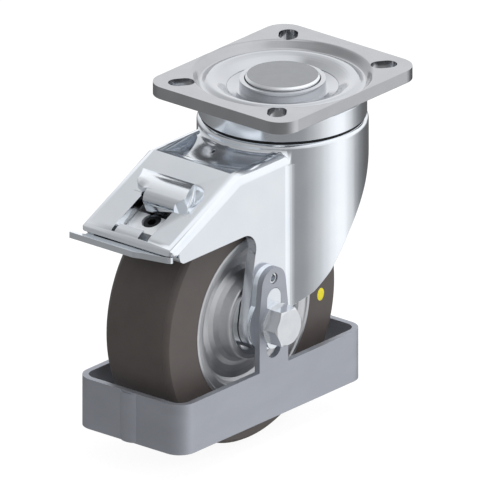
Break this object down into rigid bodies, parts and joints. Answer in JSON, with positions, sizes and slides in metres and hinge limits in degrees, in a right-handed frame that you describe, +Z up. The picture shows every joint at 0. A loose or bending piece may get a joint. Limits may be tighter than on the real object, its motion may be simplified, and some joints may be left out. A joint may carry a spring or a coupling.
{
  "type": "swivel castor",
  "caption": "Heavy-duty swivel castor with a slotted top plate, pressed steel fork and hood, total-lock pedal brake, polyurethane wheel and a foot guard around it.",
  "frame": {"origin": "swivel axis at the top plate's mounting face", "axes": "+Z up out of the mounting face, -X towards the pedal, Y along the axle"},
  "size_m": [0.17, 0.087, 0.165],
  "materials": {
    "zinc_plate": "bright zinc-plated pressed sheet",
    "zinc_fork": "bright zinc-plated pressed sheet",
    "zinc_guard": "satin zinc-plated flat bar",
    "zinc_bolt": "bright zinc-plated fastener",
    "turned_steel": "turned steel",
    "dark_steel": "black-oxide steel",
    "ball_steel": "polished",
    "seal_rubber": "matte",
    "spring_steel": "drawn wire",
    "polyurethane": "cast polyurethane, satin",
    "cast_aluminium": "as cast"
  },
  "bodies": {
    "plate": {"top_plate": "zinc_plate", "kingpin": "turned_steel", "race_ring": "zinc_plate", "kingpin_sleeve": "turned_steel", "lower_race": "turned_steel", "lock_ring": "turned_steel", "kingpin_nut": "zinc_bolt"},
    "fork": {"fork": "zinc_fork", "swivel_seal": "seal_rubber", "upper_balls_row": "ball_steel", "lower_balls_row": "ball_steel", "brake_lever_pin": "turned_steel", "pedal_stub_pins": "turned_steel", "bearing_inner_rings": "ball_steel", "bearing_balls": "ball_steel", "bearing_spacer": "turned_steel", "distance_rings": "turned_steel", "axle_tube": "turned_steel", "axle_bolt": "zinc_bolt", "axle_washers": "zinc_bolt", "axle_nut": "zinc_bolt", "foot_guard": "zinc_guard", "guide_plates": "zinc_fork", "locating_pins": "zinc_bolt"},
    "wheel": {"tread": "polyurethane", "wheel_centre": "cast_aluminium", "bearing_outer_rings": "ball_steel", "bearing_seals": "seal_rubber"},
    "pedal": {"pedal": "zinc_fork"},
    "brake": {"brake_lever": "zinc_fork", "brake_shoe": "turned_steel", "adjusting_nut": "zinc_bolt", "adjusting_screw": "dark_steel", "spring_pin": "turned_steel", "return_spring": "spring_steel"}
  },
  "joints": [
    {"name": "swivel", "type": "hinge", "parent": "plate", "child": "fork", "pos_m": [0, 0, 0], "axis": [0, 0, 1], "continuous": true},
    {"name": "wheel_spin", "type": "hinge", "parent": "fork", "child": "wheel", "pos_m": [-0.045, 0, -0.1025], "axis": [0, 1, 0], "continuous": true},
    {"name": "pedal_press", "type": "hinge", "parent": "fork", "child": "pedal", "pos_m": [-0.09, 0, -0.0473], "axis": [0, -1, 0], "range_deg": [0, 9]},
    {"name": "brake_press", "type": "hinge", "parent": "fork", "child": "brake", "pos_m": [-0.066, 0, -0.0372], "axis": [0, -1, 0], "range_deg": [0, 3.2], "stiffness_Nm_per_rad": 0.1, "springref_deg": -17.19}
  ],
  "couplings": [
    {"joint": "brake_press", "follows": "pedal_press", "ratio": 0.3556}
  ]
}
